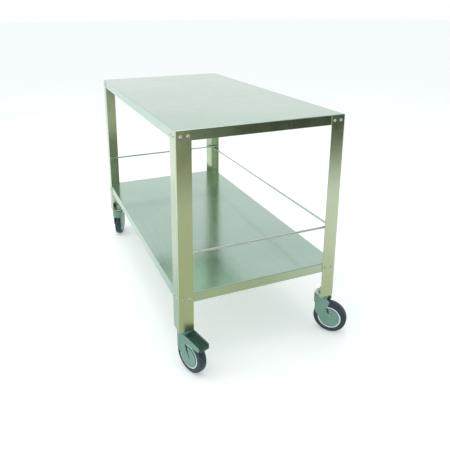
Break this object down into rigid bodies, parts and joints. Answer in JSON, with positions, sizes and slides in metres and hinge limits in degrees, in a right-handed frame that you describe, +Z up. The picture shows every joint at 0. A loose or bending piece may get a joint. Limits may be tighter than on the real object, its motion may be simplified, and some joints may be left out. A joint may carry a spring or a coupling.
{
  "type": "hospital trolley",
  "caption": "Open two-tier stainless steel trolley with angle legs, guard rails round the lower tray and swivel castors, the front pair with brake pedals.",
  "frame": {"origin": "on the floor, in the middle of the footprint of the whole trolley with its castors as they stand", "axes": "+Z up, +X along the long side, the open side faces -Y"},
  "size_m": [1.2974, 0.6692, 0.86],
  "materials": {
    "tray_sheet": "fine satin, nearly mirror bright",
    "leg_sheet": "fine satin",
    "stiffener_sheet": "plain mill finish",
    "rail_rod": "polished",
    "fasteners": "bright",
    "zinc_fittings": "zinc plated",
    "bearing_steel": "oiled steel",
    "fork_plastic": "grey-green moulded nylon",
    "wheel_plastic": "pale moulded plastic",
    "tyre_rubber": "dark slate rubber",
    "hub_bush": "plain acetal",
    "pedal_plastic": "dark green-black moulded nylon",
    "shoe_rubber": "black rubber"
  },
  "bodies": {
    "root": {"top_tray": "tray_sheet", "lower_tray": "tray_sheet", "top_stiffener": "stiffener_sheet", "lower_stiffener": "stiffener_sheet", "back_rail": "rail_rod", "right_rail": "rail_rod", "left_rail": "rail_rod", "rail_collars": "rail_rod", "top_tray_screws": "fasteners", "top_tray_nuts": "fasteners", "lower_tray_screws": "fasteners", "lower_tray_nuts": "fasteners", "stem_nuts": "zinc_fittings", "front_right_leg": "leg_sheet", "front_right_castor_plate": "leg_sheet", "front_right_stem": "zinc_fittings", "back_right_leg": "leg_sheet", "back_right_castor_plate": "leg_sheet", "back_right_stem": "zinc_fittings", "front_left_leg": "leg_sheet", "front_left_castor_plate": "leg_sheet", "front_left_stem": "zinc_fittings", "back_left_leg": "leg_sheet", "back_left_castor_plate": "leg_sheet", "back_left_stem": "zinc_fittings"},
    "front_right_swivel": {"front_right_fork": "fork_plastic", "front_right_head_bearing": "bearing_steel", "front_right_axle": "bearing_steel", "front_right_pedal_pin": "bearing_steel"},
    "front_right_wheel_set": {"front_right_wheel": "wheel_plastic", "front_right_tyre": "tyre_rubber", "front_right_hub_bush": "hub_bush"},
    "front_right_pedal": {"front_right_brake_pedal": "pedal_plastic", "front_right_brake_shoe": "shoe_rubber"},
    "back_right_swivel": {"back_right_fork": "fork_plastic", "back_right_head_bearing": "bearing_steel", "back_right_axle": "bearing_steel"},
    "back_right_wheel_set": {"back_right_wheel": "wheel_plastic", "back_right_tyre": "tyre_rubber", "back_right_hub_bush": "hub_bush"},
    "front_left_swivel": {"front_left_fork": "fork_plastic", "front_left_head_bearing": "bearing_steel", "front_left_axle": "bearing_steel", "front_left_pedal_pin": "bearing_steel"},
    "front_left_wheel_set": {"front_left_wheel": "wheel_plastic", "front_left_tyre": "tyre_rubber", "front_left_hub_bush": "hub_bush"},
    "front_left_pedal": {"front_left_brake_pedal": "pedal_plastic", "front_left_brake_shoe": "shoe_rubber"},
    "back_left_swivel": {"back_left_fork": "fork_plastic", "back_left_head_bearing": "bearing_steel", "back_left_axle": "bearing_steel"},
    "back_left_wheel_set": {"back_left_wheel": "wheel_plastic", "back_left_tyre": "tyre_rubber", "back_left_hub_bush": "hub_bush"}
  },
  "joints": [
    {"name": "front_right_swivel_turn", "type": "hinge", "parent": "root", "child": "front_right_swivel", "pos_m": [0.5442, -0.3017, 0.14], "axis": [0, 0, 1], "continuous": true},
    {"name": "front_right_wheel_roll", "type": "hinge", "parent": "front_right_swivel", "child": "front_right_wheel_set", "pos_m": [0.57968, -0.28808, 0.0625], "axis": [-0.3584, 0.9336, 0], "continuous": true},
    {"name": "front_right_brake_press", "type": "hinge", "parent": "front_right_swivel", "child": "front_right_pedal", "pos_m": [0.57314, -0.29059, 0.132], "axis": [-0.3584, 0.9336, 0], "range_deg": [0, 8]},
    {"name": "back_right_swivel_turn", "type": "hinge", "parent": "root", "child": "back_right_swivel", "pos_m": [0.5442, 0.2583, 0.14], "axis": [0, 0, 1], "continuous": true},
    {"name": "back_right_wheel_roll", "type": "hinge", "parent": "back_right_swivel", "child": "back_right_wheel_set", "pos_m": [0.57199, 0.28422, 0.0625], "axis": [-0.682, 0.7314, 0], "continuous": true},
    {"name": "front_left_swivel_turn", "type": "hinge", "parent": "root", "child": "front_left_swivel", "pos_m": [-0.5458, -0.3017, 0.14], "axis": [0, 0, 1], "continuous": true},
    {"name": "front_left_wheel_roll", "type": "hinge", "parent": "front_left_swivel", "child": "front_left_wheel_set", "pos_m": [-0.58024, -0.28564, 0.0625], "axis": [-0.4226, -0.9063, 0], "continuous": true},
    {"name": "front_left_brake_press", "type": "hinge", "parent": "front_left_swivel", "child": "front_left_pedal", "pos_m": [-0.5739, -0.2886, 0.132], "axis": [-0.4226, -0.9063, 0], "range_deg": [0, 8]},
    {"name": "back_left_swivel_turn", "type": "hinge", "parent": "root", "child": "back_left_swivel", "pos_m": [-0.5458, 0.2583, 0.14], "axis": [0, 0, 1], "continuous": true},
    {"name": "back_left_wheel_roll", "type": "hinge", "parent": "back_left_swivel", "child": "back_left_wheel_set", "pos_m": [-0.57871, 0.2773, 0.0625], "axis": [-0.5, -0.866, 0], "continuous": true}
  ]
}
